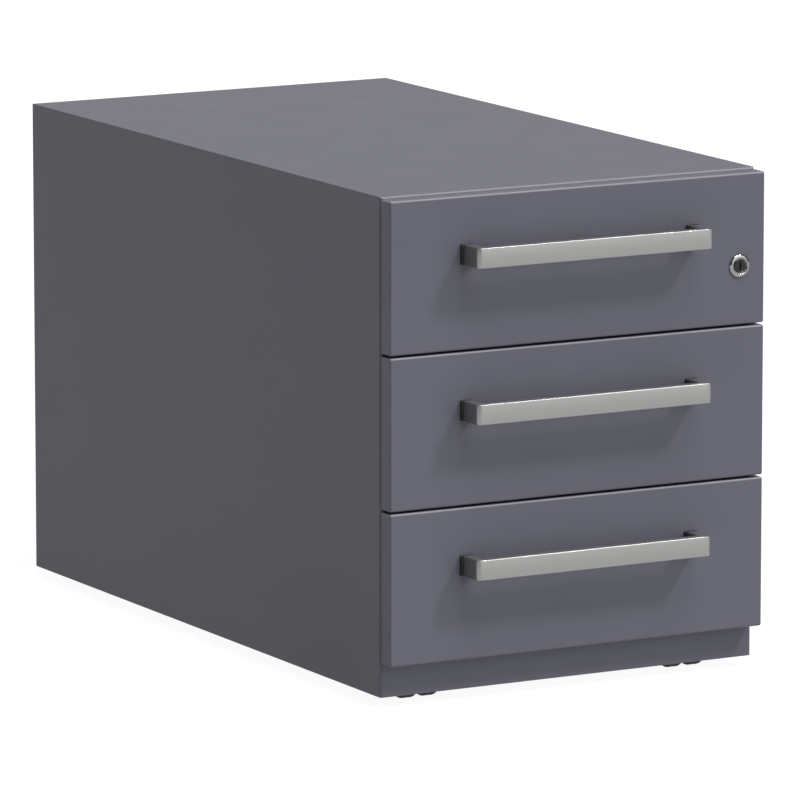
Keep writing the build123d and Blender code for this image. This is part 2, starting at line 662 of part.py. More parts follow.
def carcass_nodes():
    """Every piece that stays still."""
    nodes = {
        "left_side_panel": side_panel(),
        "right_side_panel": mirror(side_panel(), about=Plane.YZ),
        "top_panel": top_panel(),
        "back_panel": back_panel(),
        "base_panel": base_panel(),
        "plinth_panel": plinth_panel(),
        "rail_posts": rail_posts(),
        "front_buffers": front_buffers(),
        "lock_bar_guides": lock_bar_guides(),
        "castor_plates": castor_plates(),
        "castor_screws": castor_screws(),
    }
    for number in DRAWERS:
        nodes[f"outer_rails_{number}"] = outer_rails(number)
    return nodes


def drawer_nodes():
    """Every piece of the three drawers and of the rails that run with them."""
    makers = {
        "drawer_front": drawer_front,
        "front_liner": front_liner,
        "drawer_tray": tray,
        "inner_rails": inner_rails,
        "mid_rails": mid_rails,
        "handle": handle,
        "handle_screws": handle_screws,
        "catch_hook": catch_hook,
    }
    return {f"{name}_{number}": make(number) for number in DRAWERS for name, make in makers.items()}


def lock_nodes():
    """The lock and its bar."""
    return {
        "lock_body": lock_body(),
        "lock_nut": lock_nut(),
        "lock_plug": lock_plug(),
        "lock_cam": lock_cam(),
        "lock_bar": lock_bar(),
    }


def castor_nodes():
    """The swivelling pieces of the four castors."""
    nodes = {}
    for place, (x, y) in castor_places().items():
        nodes[f"castor_hood_{place}"] = castor_hood(x, y)
        nodes[f"castor_axle_{place}"] = castor_axle(x, y)
        nodes[f"wheel_l_{place}"] = castor_wheel(x, y, -1)
        nodes[f"wheel_r_{place}"] = castor_wheel(x, y, 1)
    return nodes


os.makedirs("parts", exist_ok=True)
ALL_NODES = carcass_nodes() | drawer_nodes() | lock_nodes() | castor_nodes()
for node_name, node_shape in ALL_NODES.items():
    export_step(node_shape, f"parts/{node_name}.step")
print(f"{len(ALL_NODES)} nodes written")
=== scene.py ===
"""Looks for a rolling pedestal cabinet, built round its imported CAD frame.

The cabinet is anthracite powder-coated steel with three drawers, satin silver bow
handles, a chrome cylinder lock and four concealed black twin-wheel castors.
Every length is in metres, in the same frame as the CAD: +Z up, fronts facing -Y.
"""

from __future__ import annotations

import logging
import math
from collections.abc import Callable, Iterable
from dataclasses import dataclass
from enum import Enum

import bmesh
import bpy
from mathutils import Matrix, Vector


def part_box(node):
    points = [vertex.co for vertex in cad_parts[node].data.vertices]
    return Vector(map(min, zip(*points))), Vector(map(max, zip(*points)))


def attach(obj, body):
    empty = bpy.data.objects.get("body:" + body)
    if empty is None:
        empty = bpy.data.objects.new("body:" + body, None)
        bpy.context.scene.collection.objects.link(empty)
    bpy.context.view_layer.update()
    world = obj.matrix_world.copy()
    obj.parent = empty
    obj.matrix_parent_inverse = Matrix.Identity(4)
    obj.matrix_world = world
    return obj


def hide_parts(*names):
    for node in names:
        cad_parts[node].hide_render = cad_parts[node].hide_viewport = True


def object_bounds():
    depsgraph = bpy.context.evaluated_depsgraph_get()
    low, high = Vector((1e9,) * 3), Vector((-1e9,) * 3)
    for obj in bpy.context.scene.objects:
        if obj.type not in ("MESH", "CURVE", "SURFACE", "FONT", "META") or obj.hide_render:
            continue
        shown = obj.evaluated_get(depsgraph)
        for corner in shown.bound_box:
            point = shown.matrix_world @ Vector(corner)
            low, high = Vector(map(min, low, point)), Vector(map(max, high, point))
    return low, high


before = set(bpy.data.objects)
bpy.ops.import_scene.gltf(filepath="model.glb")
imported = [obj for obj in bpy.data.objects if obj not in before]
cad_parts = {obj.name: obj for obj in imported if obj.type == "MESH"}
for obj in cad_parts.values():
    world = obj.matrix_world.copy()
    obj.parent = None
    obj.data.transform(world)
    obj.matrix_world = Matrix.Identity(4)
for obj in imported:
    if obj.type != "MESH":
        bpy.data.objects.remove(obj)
CAD_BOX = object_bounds()
LOG = logging.getLogger("pedestal")
MM = 0.001
FACING = 0.9  # least share of a face's normal along the way that it faces
DRAWERS = (1, 2, 3)
CASTOR_PLACES = ("front_left", "front_right", "rear_left", "rear_right")

FaceTest = Callable[[Vector, Vector], bool]
EdgeTest = Callable[[Vector, Vector], bool]


class Axis(Enum):
    """The axes that a round piece can lie along, as the turn from upright."""

    X = (0.0, math.pi / 2, 0.0)
    Y = (math.pi / 2, 0.0, 0.0)


class Side(Enum):
    """The left or right half of the cabinet, as the sign of X."""

    LEFT = -1
    RIGHT = 1


def corners(node: str) -> tuple[Vector, Vector]:
    """The lowest and highest corner of a CAD node at rest."""
    low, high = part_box(node)
    return Vector(low), Vector(high)


# ---- Modelling bench ----
class Workbench:
    """Starts and finishes pieces, one at a time."""

    @staticmethod
    def clear() -> None:
        """Leave edit mode and deselect everything."""
        if bpy.context.object is not None and bpy.context.object.mode != "OBJECT":
            bpy.ops.object.mode_set(mode="OBJECT")
        bpy.ops.object.select_all(action="DESELECT")

    @staticmethod
    def only(piece: bpy.types.Object) -> None:
        """Make one piece the selected and active one."""
        Workbench.clear()
        piece.select_set(True)
        bpy.context.view_layer.objects.active = piece

    @staticmethod
    def settle(name: str) -> bpy.types.Object:
        """Name the active piece and move its place, turn and size into its mesh.

        Args:
            name: The piece's name.

        Returns:
            The piece, at the origin.
        """
        piece = bpy.context.active_object
        bpy.ops.object.transform_apply(location=True, rotation=True, scale=True)
        piece.name = name
        piece.data.name = name
        return piece

    @staticmethod
    def cube(name: str, low: Vector, high: Vector) -> bpy.types.Object:
        """Start a piece from a cube.

        Args:
            name: The piece's name.
            low: The lowest corner.
            high: The highest corner.

        Returns:
            The new piece.
        """
        Workbench.clear()
        bpy.ops.mesh.primitive_cube_add(size=1.0, location=(low + high) / 2)
        bpy.context.active_object.scale = high - low
        return Workbench.settle(name)

    @staticmethod
    def drum(
        name: str, centre: Vector, radius: float, depth: float, axis: Axis, sides: int
    ) -> bpy.types.Object:
        """Start a piece from a cylinder.

        Args:
            name: The piece's name.
            centre: The middle of the cylinder.
            radius: Its radius.
            depth: Its length along the axis.
            axis: The axis that it lies along.
            sides: The number of flats round it.

        Returns:
            The new piece.
        """
        Workbench.clear()
        bpy.ops.mesh.primitive_cylinder_add(
            vertices=sides, radius=radius, depth=depth, location=centre, rotation=axis.value
        )
        return Workbench.settle(name)

    @staticmethod
    def copy(piece: bpy.types.Object, name: str, offset: Vector) -> bpy.types.Object:
        """Copy a piece with its own mesh, moved by an offset.

        Args:
            piece: The piece to copy.
            name: The copy's name.
            offset: How far the copy is moved.

        Returns:
            The copy, at the origin.
        """
        Workbench.only(piece)
        bpy.ops.object.duplicate(linked=False)
        bpy.ops.transform.translate(value=offset)
        return Workbench.settle(name)

    @staticmethod
    def join(pieces: list[bpy.types.Object], name: str) -> bpy.types.Object:
        """Join several pieces into the first of them.

        Args:
            pieces: The pieces to join.
            name: The joined piece's name.

        Returns:
            The joined piece.
        """
        Workbench.clear()
        for piece in pieces:
            piece.select_set(True)
        bpy.context.view_layer.objects.active = pieces[0]
        bpy.ops.object.join()
        return Workbench.settle(name)

    @staticmethod
    def turn(piece: bpy.types.Object, degrees: float, axis: str, centre: Vector) -> None:
        """Turn a piece's mesh about a line through a point.

        Args:
            piece: The piece to turn.
            degrees: How far it turns.
            axis: The line's direction, X, Y or Z.
            centre: A point on the line.
        """
        with Edit(piece) as edit:
            edit.everything()
            bpy.ops.transform.rotate(value=math.radians(degrees), orient_axis=axis, center_override=centre)

    @staticmethod
    def carve(piece: bpy.types.Object, cutter: bpy.types.Object) -> None:
        """Cut one piece out of another and throw the cutter away.

        Args:
            piece: The piece to cut.
            cutter: The shape that is taken away.
        """
        Workbench.modify(piece, "BOOLEAN", object=cutter, operation="DIFFERENCE", solver="EXACT")
        Workbench.only(cutter)
        bpy.ops.object.delete()

    @staticmethod
    def modify(piece: bpy.types.Object, kind: str, **settings: object) -> None:
        """Add a modifier and apply it.

        Args:
            piece: The piece to change.
            kind: The modifier's type.
            **settings: The modifier's own settings, by name.
        """
        Workbench.only(piece)
        modifier = piece.modifiers.new(kind.title(), kind)
        for key, value in settings.items():
            setattr(modifier, key, value)
        bpy.ops.object.modifier_apply(modifier=modifier.name)

    @staticmethod
    def round_edges(piece: bpy.types.Object, width: float, segments: int, angle: float) -> None:
        """Round every edge sharper than an angle, and tidy the mesh.

        Args:
            piece: The piece to change.
            width: The rounding's width.
            segments: The flats round it.
            angle: The least angle that is rounded, in degrees.
        """
        limit = math.radians(angle)
        Workbench.modify(
            piece, "BEVEL", width=width, segments=segments, limit_method="ANGLE", angle_limit=limit
        )
        with Edit(piece) as edit:
            edit.tidy()

    @staticmethod
    def smooth(piece: bpy.types.Object, degrees: float = 32.0) -> None:
        """Shade a piece smooth except across edges sharper than an angle."""
        Workbench.only(piece)
        bpy.ops.object.shade_smooth_by_angle(angle=math.radians(degrees))


class Edit:
    """One piece in edit mode, with selection by place or normal and the usual operators."""

    def __init__(self, piece: bpy.types.Object) -> None:
        """Remember the piece that is to be edited."""
        self.piece = piece

    def __enter__(self) -> Edit:
        """Open the piece in edit mode with nothing selected."""
        Workbench.only(self.piece)
        bpy.ops.object.mode_set(mode="EDIT")
        bpy.ops.mesh.select_all(action="DESELECT")
        return self

    def __exit__(self, *_: object) -> None:
        """Go back to object mode."""
        bpy.ops.object.mode_set(mode="OBJECT")

    def faces(self, test: FaceTest) -> Edit:
        """Select the faces that pass a test of their middle and normal, and no others."""
        bpy.ops.mesh.select_mode(type="FACE")
        bpy.ops.mesh.select_all(action="DESELECT")
        mesh = bmesh.from_edit_mesh(self.piece.data)
        for face in mesh.faces:
            if test(face.calc_center_median(), face.normal):
                face.select_set(True)
        bmesh.update_edit_mesh(self.piece.data)
        return self

    def edges(self, test: EdgeTest) -> Edit:
        """Select the edges whose two ends pass a test, and no others."""
        bpy.ops.mesh.select_mode(type="EDGE")
        bpy.ops.mesh.select_all(action="DESELECT")
        mesh = bmesh.from_edit_mesh(self.piece.data)
        for edge in mesh.edges:
            if test(edge.verts[0].co, edge.verts[1].co):
                edge.select_set(True)
        bmesh.update_edit_mesh(self.piece.data)
        return self

    def everything(self) -> Edit:
        """Select all of the piece."""
        bpy.ops.mesh.select_all(action="SELECT")
        return self

    def cut(self, point: Vector, normal: Vector) -> Edit:
        """Cut the whole piece along the plane through a point, and keep both parts."""
        self.everything()
        bpy.ops.mesh.bisect(plane_co=point, plane_no=normal)
        return self

    def extrude(self, offset: Vector) -> Edit:
        """Extrude what is selected by an offset."""
        bpy.ops.mesh.extrude_region_move(TRANSFORM_OT_translate={"value": offset})
        return self

    def move(self, offset: Vector) -> Edit:
        """Move what is selected."""
        bpy.ops.transform.translate(value=offset)
        return self

    def resize(self, factors: Vector, centre: Vector) -> Edit:
        """Scale what is selected about a point."""
        bpy.ops.transform.resize(value=factors, center_override=centre)
        return self

    def inset(self, width: float, depth: float = 0.0) -> Edit:
        """Inset the selected faces, and push them in by a depth."""
        bpy.ops.mesh.inset(thickness=width, depth=-depth, use_even_offset=True)
        return self

    def bevel(self, width: float, segments: int) -> Edit:
        """Round the selected edges."""
        bpy.ops.mesh.bevel(offset=width, segments=segments, affect="EDGES", profile=0.5)
        return self

    def bridge(self) -> Edit:
        """Join two selected faces with a tunnel."""
        bpy.ops.mesh.bridge_edge_loops()
        return self

    def tidy(self) -> Edit:
        """Merge doubles and point every face outwards."""
        self.everything()
        bpy.ops.mesh.remove_doubles(threshold=0.00001)
        bpy.ops.mesh.normals_make_consistent(inside=False)
        return self


# ---- Shader nodes ----
class NodeSheet:
    """A node tree with short ways to add nodes and join their sockets."""

    def __init__(self, tree: bpy.types.NodeTree) -> None:
        """Work on one tree."""
        self.tree = tree

    def add(self, kind: str, label: str = "", **settings: object) -> bpy.types.Node:
        """Add a node.

        Args:
            kind: The node's type without the leading "ShaderNode".
            label: What the node is for.
            **settings: The node's own properties, by name.

        Returns:
            The new node.
        """
        node = self.tree.nodes.new(f"ShaderNode{kind}")
        node.label = label
        for key, value in settings.items():
            setattr(node, key, value)
        return node

    def join(self, source: bpy.types.NodeSocket, target: bpy.types.NodeSocket) -> None:
        """Join an output to an input."""
        self.tree.links.new(source, target)

    def noise(
        self, vector: bpy.types.NodeSocket, scale: float, detail: float, label: str
    ) -> bpy.types.NodeSocket:
        """Add a noise texture and give its value.

        Args:
            vector: The coordinates that it reads.
            scale: Its features per metre.
            detail: Its octaves.
            label: What the noise is for.

        Returns:
            The noise's value output.
        """
        node = self.add("TexNoise", label)
        node.inputs["Scale"].default_value = scale
        node.inputs["Detail"].default_value = detail
        self.join(vector, node.inputs["Vector"])
        return node.outputs["Fac"]

    def math(
        self, operation: str, first: object, second: object, clamp: bool = False
    ) -> bpy.types.NodeSocket:
        """Add a math node on sockets or numbers and give its value.

        Args:
            operation: The node's operation.
            first: A socket or a number.
            second: A socket or a number.
            clamp: Whether the value is kept from 0 to 1.

        Returns:
            The node's value output.
        """
        node = self.add("Math", operation=operation, use_clamp=clamp)
        for socket, value in zip(node.inputs, (first, second)):
            if isinstance(value, bpy.types.NodeSocket):
                self.join(value, socket)
            else:
                socket.default_value = value
        return node.outputs[0]

    def spread(self, value: bpy.types.NodeSocket, low: float, high: float) -> bpy.types.NodeSocket:
        """Map a value from 0 to 1 onto a range.

        Args:
            value: The value to map.
            low: What 0 becomes.
            high: What 1 becomes.

        Returns:
            The mapped value.
        """
        node = self.add("MapRange")
        node.inputs["To Min"].default_value = low
        node.inputs["To Max"].default_value = high
        self.join(value, node.inputs["Value"])
        return node.outputs["Result"]

    def mix(self, share: bpy.types.NodeSocket, first: object, second: object) -> bpy.types.NodeSocket:
        """Mix two colours, each a socket or an RGB triple.

        Args:
            share: How much of the second colour shows.
            first: The first colour.
            second: The second colour.

        Returns:
            The mixed colour.
        """
        node = self.add("Mix", data_type="RGBA")
        self.join(share, node.inputs[0])
        for socket, value in ((node.inputs[6], first), (node.inputs[7], second)):
            if isinstance(value, bpy.types.NodeSocket):
                self.join(value, socket)
            else:
                socket.default_value = (*value, 1.0)
        return node.outputs[2]


class Effect:
    """A shader node group that several finishes share; each effect is built once."""

    title = "Effect"
    inputs: tuple[tuple[str, float], ...] = ()
    outputs: tuple[str, ...] = ()

    @classmethod
    def group(cls) -> bpy.types.NodeTree:
        """The effect's node group, built the first time that it is asked for."""
        found = bpy.data.node_groups.get(cls.title)
        if found is not None:
            return found
        tree = bpy.data.node_groups.new(cls.title, "ShaderNodeTree")
        for name, value in cls.inputs:
            socket = tree.interface.new_socket(name=name, in_out="INPUT", socket_type="NodeSocketFloat")
            socket.default_value = value
        for name in cls.outputs:
            tree.interface.new_socket(name=name, in_out="OUTPUT", socket_type="NodeSocketFloat")
        sheet = NodeSheet(tree)
        cls.wire(sheet, sheet.tree.nodes.new("NodeGroupInput"), sheet.tree.nodes.new("NodeGroupOutput"))
        return tree

    @classmethod
    def wire(cls, sheet: NodeSheet, given: bpy.types.Node, made: bpy.types.Node) -> None:
        """Fill the group with its nodes."""
        raise NotImplementedError

    @staticmethod
    def spread_roughness(
        sheet: NodeSheet, value: bpy.types.NodeSocket, given: bpy.types.Node, made: bpy.types.Node
    ) -> None:
        """Spread a value between the group's two roughness inputs and put it out.

        Args:
            sheet: The group's nodes.
            value: What the roughness follows.
            given: The group's input node.
            made: The group's output node.
        """
        rough = sheet.add("MapRange")
        sheet.join(value, rough.inputs["Value"])
        sheet.join(given.outputs["Rough Low"], rough.inputs["To Min"])
        sheet.join(given.outputs["Rough High"], rough.inputs["To Max"])
        sheet.join(rough.outputs["Result"], made.inputs["Roughness"])

    @classmethod
    def place(cls, sheet: NodeSheet, **values: float) -> bpy.types.Node:
        """Put the effect in a material.

        Args:
            sheet: The material's nodes.
            **values: Values for the effect's named inputs, with spaces as underscores.

        Returns:
            The group node.
        """
        node = sheet.add("Group", cls.title)
        node.node_tree = cls.group()
        for key, value in values.items():
            node.inputs[key.replace("_", " ")].default_value = value
        return node


class PowderGrain(Effect):
    """Orange-peel relief and slight mottling of a baked powder coat or a moulded plastic."""

    title = "Powder grain"
    inputs = (("Grain", 900.0), ("Mottle", 14.0), ("Rough Low", 0.4), ("Rough High", 0.5))
    outputs = ("Height", "Tone", "Roughness")
    details = {"grain": 2.0, "peel": 1.0, "mottle": 3.0}
    peel_scale = 0.3
    peel_height = 1.6

    @classmethod
    def wire(cls, sheet: NodeSheet, given: bpy.types.Node, made: bpy.types.Node) -> None:
        """Two scales of relief, and a broad soft tone that also moves the roughness."""
        place = sheet.add("TexCoord").outputs["Object"]
        layers = {}
        for name, detail in cls.details.items():
            layers[name] = sheet.add("TexNoise", name)
            layers[name].inputs["Detail"].default_value = detail
            sheet.join(place, layers[name].inputs["Vector"])
        sheet.join(given.outputs["Grain"], layers["grain"].inputs["Scale"])
        peel_scale = sheet.math("MULTIPLY", given.outputs["Grain"], cls.peel_scale)
        sheet.join(peel_scale, layers["peel"].inputs["Scale"])
        sheet.join(given.outputs["Mottle"], layers["mottle"].inputs["Scale"])
        peel = sheet.math("MULTIPLY", layers["peel"].outputs["Fac"], cls.peel_height)
        sheet.join(sheet.math("ADD", layers["grain"].outputs["Fac"], peel), made.inputs["Height"])
        tone = layers["mottle"].outputs["Fac"]
        sheet.join(tone, made.inputs["Tone"])
        cls.spread_roughness(sheet, tone, given, made)


class Brushing(Effect):
    """Fine lines that run along one axis, as on drawn or brushed metal."""

    title = "Brushing"
    inputs = (
        ("Along X", 8.0),
        ("Along Y", 900.0),
        ("Along Z", 900.0),
        ("Rough Low", 0.25),
        ("Rough High", 0.4),
    )
    outputs = ("Height", "Tone", "Roughness")
    line_share = 0.6
    line_detail = 3.0
    broad_scale = 30.0
    broad_detail = 2.0

    @classmethod
    def wire(cls, sheet: NodeSheet, given: bpy.types.Node, made: bpy.types.Node) -> None:
        """Noise on coordinates stretched along the brushing."""
        place = sheet.add("TexCoord").outputs["Object"]
        stretch = sheet.add("CombineXYZ")
        for axis in "XYZ":
            sheet.join(given.outputs[f"Along {axis}"], stretch.inputs[axis])
        scaled = sheet.add("VectorMath", operation="MULTIPLY")
        sheet.join(place, scaled.inputs[0])
        sheet.join(stretch.outputs["Vector"], scaled.inputs[1])
        lines = sheet.noise(scaled.outputs["Vector"], 1.0, cls.line_detail, "lines")
        broad = sheet.noise(place, cls.broad_scale, cls.broad_detail, "broad tone")
        sheet.join(lines, made.inputs["Height"])
        fine_tone = sheet.math("MULTIPLY", lines, cls.line_share)
        broad_tone = sheet.math("MULTIPLY", broad, 1.0 - cls.line_share)
        sheet.join(sheet.math("ADD", fine_tone, broad_tone), made.inputs["Tone"])
        cls.spread_roughness(sheet, lines, given, made)


class Dust(Effect):
    """Patches of pale dust and scuffing, as on a wheel or the floor of a drawer."""

    title = "Dust"
    inputs = (("Size", 60.0), ("Amount", 0.2))
    outputs = ("Mask",)
    patch_detail = 5.0
    patch_edge = (0.48, 0.7)

    @classmethod
    def wire(cls, sheet: NodeSheet, given: bpy.types.Node, made: bpy.types.Node) -> None:
        """A noise cut to soft patches and scaled by the amount."""
        place = sheet.add("TexCoord").outputs["Object"]
        patches = sheet.add("TexNoise", "patches")
        patches.inputs["Detail"].default_value = cls.patch_detail
        sheet.join(place, patches.inputs["Vector"])
        sheet.join(given.outputs["Size"], patches.inputs["Scale"])
        edge = sheet.add("MapRange", "soft edge", clamp=True)
        edge.inputs["From Min"].default_value = cls.patch_edge[0]
        edge.inputs["From Max"].default_value = cls.patch_edge[1]
        sheet.join(patches.outputs["Fac"], edge.inputs["Value"])
        mask = sheet.math("MULTIPLY", edge.outputs["Result"], given.outputs["Amount"], clamp=True)
        sheet.join(mask, made.inputs["Mask"])


class PaintedEdgeHighlight(Effect):
    """A painted highlight: a paler line on rounded edges that face upwards, standing in for the light that
    these edges catch.
    """

    title = "Painted edge highlight"
    inputs = (("Amount", 0.5),)
    outputs = ("Mask",)

    @classmethod
    def wire(cls, sheet: NodeSheet, given: bpy.types.Node, made: bpy.types.Node) -> None:
        """Nothing on flat sheet, and most where the surface slopes halfway between level and upright."""
        parts = sheet.add("SeparateXYZ")
        sheet.join(sheet.add("TexCoord").outputs["Normal"], parts.inputs["Vector"])
        rise = parts.outputs["Z"]
        rest = sheet.math("SUBTRACT", 1.0, sheet.math("MULTIPLY", rise, rise), clamp=True)
        level = sheet.math("SQRT", rest, 0.0)
        slope = sheet.math("MULTIPLY", sheet.math("MULTIPLY", rise, level), 2.0, clamp=True)
        sheet.join(sheet.math("MULTIPLY", slope, given.outputs["Amount"], clamp=True), made.inputs["Mask"])


# ---- Finishes ----
Colour = tuple[float, float, float]


def blank_material(name: str) -> tuple[bpy.types.Material, NodeSheet, bpy.types.Node]:
    """Make a node material with only its Principled shader and output.

    Args:
        name: The material's name.

    Returns:
        The material, its node sheet and its Principled shader.
    """
    material = bpy.data.materials.new(name)
    material.use_nodes = True
    sheet = NodeSheet(material.node_tree)
    shader = material.node_tree.nodes["Principled BSDF"]
    return material, sheet, shader


def surface(
    sheet: NodeSheet, shader: bpy.types.Node, effect: bpy.types.Node, strength: float, depth: float
) -> None:
    """Let the shader's roughness and relief follow an effect.

    Args:
        sheet: The material's nodes.
        shader: The Principled shader.
        effect: The effect's group node.
        strength: The relief's strength.
        depth: The relief's depth in metres.
    """
    bump = sheet.add("Bump", "relief")
    bump.inputs["Strength"].default_value = strength
    bump.inputs["Distance"].default_value = depth
    sheet.join(effect.outputs["Height"], bump.inputs["Height"])
    sheet.join(bump.outputs["Normal"], shader.inputs["Normal"])
    sheet.join(effect.outputs["Roughness"], shader.inputs["Roughness"])


@dataclass(frozen=True)
class PowderCoat:
    """Baked powder coat on sheet steel: satin, with orange peel, a slight mottle and a painted highlight
    along rounded edges that face upwards.
    """

    name: str
    light: Colour
    dark: Colour
    rough_low: float = 0.4
    rough_high: float = 0.48
    specular: float = 0.16
    grain: float = 1100.0
    strength: float = 0.12
    depth: float = 0.00012
    # The next two settings are the strength and the paler colour of a painted highlight along rounded edges
    # that face upwards.
    painted_highlight: float = 0.75
    edge: Colour = (0.2, 0.2, 0.225)

    def material(self) -> bpy.types.Material:
        """Build the material."""
        material, sheet, shader = blank_material(self.name)
        grain = PowderGrain.place(
            sheet, Grain=self.grain, Rough_Low=self.rough_low, Rough_High=self.rough_high
        )
        colour = sheet.mix(grain.outputs["Tone"], self.dark, self.light)
        # Paint a highlight along rounded edges that face upwards by mixing in the paler edge colour.
        painted_highlight = PaintedEdgeHighlight.place(sheet, Amount=self.painted_highlight)
        colour = sheet.mix(painted_highlight.outputs["Mask"], colour, self.edge)
        sheet.join(colour, shader.inputs["Base Color"])
        shader.inputs["Specular IOR Level"].default_value = self.specular
        surface(sheet, shader, grain, self.strength, self.depth)
        return material


@dataclass(frozen=True)
class BrushedMetal:
    """Metal with fine lines along one axis: satin aluminium, zinc plate or bright steel."""

    name: str
    light: Colour
    dark: Colour
    along: tuple[float, float, float] = (10.0, 1200.0, 1200.0)
    rough_low: float = 0.3
    rough_high: float = 0.42
    metallic: float = 1.0
    strength: float = 0.05
    depth: float = 0.00005

    def material(self) -> bpy.types.Material:
        """Build the material."""
        material, sheet, shader = blank_material(self.name)
        lines = Brushing.place(
            sheet,
            Along_X=self.along[0],
            Along_Y=self.along[1],
            Along_Z=self.along[2],
            Rough_Low=self.rough_low,
            Rough_High=self.rough_high,
        )
        sheet.join(sheet.mix(lines.outputs["Tone"], self.dark, self.light), shader.inputs["Base Color"])
        shader.inputs["Metallic"].default_value = self.metallic
        surface(sheet, shader, lines, self.strength, self.depth)
        return material


@dataclass(frozen=True)
class PolishedChrome:
    """Bright chrome plate with faint handling marks."""

    name: str
    tint: Colour = (0.3, 0.3, 0.305)
    shade: float = 0.9
    grain: float = 2500.0
    mottle: float = 180.0
    rough_low: float = 0.06
    rough_high: float = 0.14
    strength: float = 0.02
    depth: float = 0.00002

    def material(self) -> bpy.types.Material:
        """Build the material."""
        material, sheet, shader = blank_material(self.name)
        grain = PowderGrain.place(
            sheet, Grain=self.grain, Mottle=self.mottle, Rough_Low=self.rough_low, Rough_High=self.rough_high
        )
        darker = tuple(self.shade * part for part in self.tint)
        sheet.join(sheet.mix(grain.outputs["Tone"], darker, self.tint), shader.inputs["Base Color"])
        shader.inputs["Metallic"].default_value = 1.0
        surface(sheet, shader, grain, self.strength, self.depth)
        return material


@dataclass(frozen=True)
class MouldedPlastic:
    """Moulded plastic or rubber with a fine spark-eroded grain and a little dust."""

    name: str
    light: Colour
    dark: Colour
    rough_low: float = 0.45
    rough_high: float = 0.6
    dust: float = 0.15
    specular: float = 0.5
    grain: float = 2200.0
    mottle: float = 90.0
    dust_size: float = 220.0
    dust_colour: Colour = (0.22, 0.21, 0.2)
    strength: float = 0.15
    depth: float = 0.00006

    def material(self) -> bpy.types.Material:
        """Build the material."""
        material, sheet, shader = blank_material(self.name)
        grain = PowderGrain.place(
            sheet, Grain=self.grain, Mottle=self.mottle, Rough_Low=self.rough_low, Rough_High=self.rough_high
        )
        dust = Dust.place(sheet, Size=self.dust_size, Amount=self.dust)
        tone = sheet.mix(grain.outputs["Tone"], self.dark, self.light)
        sheet.join(sheet.mix(dust.outputs["Mask"], tone, self.dust_colour), shader.inputs["Base Color"])
        shader.inputs["Specular IOR Level"].default_value = self.specular
        surface(sheet, shader, grain, self.strength, self.depth)
        return material


class Finish(Enum):
    """Every finish on the cabinet: the record's material slot, and a variant's name after a slash."""

    CARCASS = "carcass_paint"
    DRAWER = "drawer_paint"
    HANDLE = "handle_metal"
    CHROME = "lock_chrome"
    PLUG = "lock_chrome/plug"
    RAIL = "rail_steel"
    PLATED = "plated_steel"
    SCREW = "screw_steel"
    CASTOR = "castor_black"
    WHEEL = "wheel_black"
    BUFFER = "buffer_rubber"
    GUIDE = "guide_plastic"

    @property
    def slot(self) -> str:
        """The record's material slot."""
        return self.value.split("/")[0]


ANTHRACITE_LIGHT = (0.080, 0.080, 0.101)
ANTHRACITE_DARK = (0.071, 0.071, 0.090)

RECIPES = {
    Finish.CARCASS: PowderCoat("anthracite_powder_coat", ANTHRACITE_LIGHT, ANTHRACITE_DARK),
    Finish.DRAWER: PowderCoat("anthracite_drawer_coat", ANTHRACITE_LIGHT, ANTHRACITE_DARK),
    Finish.HANDLE: BrushedMetal(
        "satin_silver",
        (0.275, 0.275, 0.27),
        (0.24, 0.24, 0.235),
        rough_low=0.26,
        rough_high=0.34,
        metallic=0.8,
    ),
    Finish.CHROME: PolishedChrome("polished_chrome"),
    # The plug's near-black chrome tint is a painted dark reflection, standing in for a dark surround mirrored
    # in the chrome.
    Finish.PLUG: PolishedChrome("plug_chrome_painted_dark_reflection", (0.04, 0.04, 0.042)),
    Finish.RAIL: BrushedMetal(
        "bright_zinc_rail", (0.62, 0.63, 0.65), (0.5, 0.51, 0.53), along=(1200.0, 10.0, 1200.0)
    ),
    Finish.PLATED: BrushedMetal(
        "zinc_plate", (0.55, 0.55, 0.56), (0.42, 0.42, 0.43), along=(200.0, 200.0, 40.0)
    ),
    Finish.SCREW: BrushedMetal(
        "plated_screw", (0.5, 0.5, 0.52), (0.4, 0.4, 0.41), along=(900.0, 900.0, 900.0)
    ),
    Finish.CASTOR: MouldedPlastic("black_nylon", (0.014, 0.014, 0.015), (0.008, 0.008, 0.009), specular=0.25),
    # Black nylon tinted darker than the hood's: the extra darkness is painted shade, against the light that
    # the glowing floor throws onto the wheels.
    Finish.WHEEL: MouldedPlastic(
        "black_wheel_nylon_painted_shade", (0.01, 0.01, 0.011), (0.005, 0.005, 0.006), dust=0.04, specular=0.12
    ),
    Finish.BUFFER: MouldedPlastic(
        "buffer_rubber", (0.02, 0.02, 0.02), (0.012, 0.012, 0.012), dust=0.03, specular=0.2
    ),
    Finish.GUIDE: MouldedPlastic("guide_acetal", (0.05, 0.05, 0.055), (0.035, 0.035, 0.04), dust=0.05),
}


class Palette:
    """Builds each finish once and dresses pieces in it."""

    def __init__(self) -> None:
        """Start with no material built."""
        self.made: dict[Finish, bpy.types.Material] = {}

    def material(self, finish: Finish) -> bpy.types.Material:
        """The material of a finish."""
        if finish not in self.made:
            self.made[finish] = RECIPES[finish].material()
        return self.made[finish]

    def dress(self, piece: bpy.types.Object, finish: Finish) -> None:
        """Give a piece one finish all over."""
        material = self.material(finish)
        if piece.material_slots:
            for slot in piece.material_slots:
                slot.material = material
        else:
            piece.data.materials.append(material)

    def dress_node(self, name: str, finish: Finish) -> None:
        """Give a CAD node one finish all over."""
        self.dress(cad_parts[name], finish)
        LOG.info("dressed %s in %s", name, finish.value)

    def mount(
        self, piece: bpy.types.Object, body: str, finish: Finish, stands_for: Iterable[str] = ()
    ) -> None:
        """Dress a new piece, let it ride on a body and say what it stands for.

        Args:
            piece: The new piece.
            body: The CAD body that it moves with.
            finish: Its finish.
            stands_for: The CAD nodes that it replaces.
        """
        self.dress(piece, finish)
        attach(piece, body)
        for node in stands_for:
            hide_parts(node)
        LOG.info("mounted %s on %s", piece.name, body)


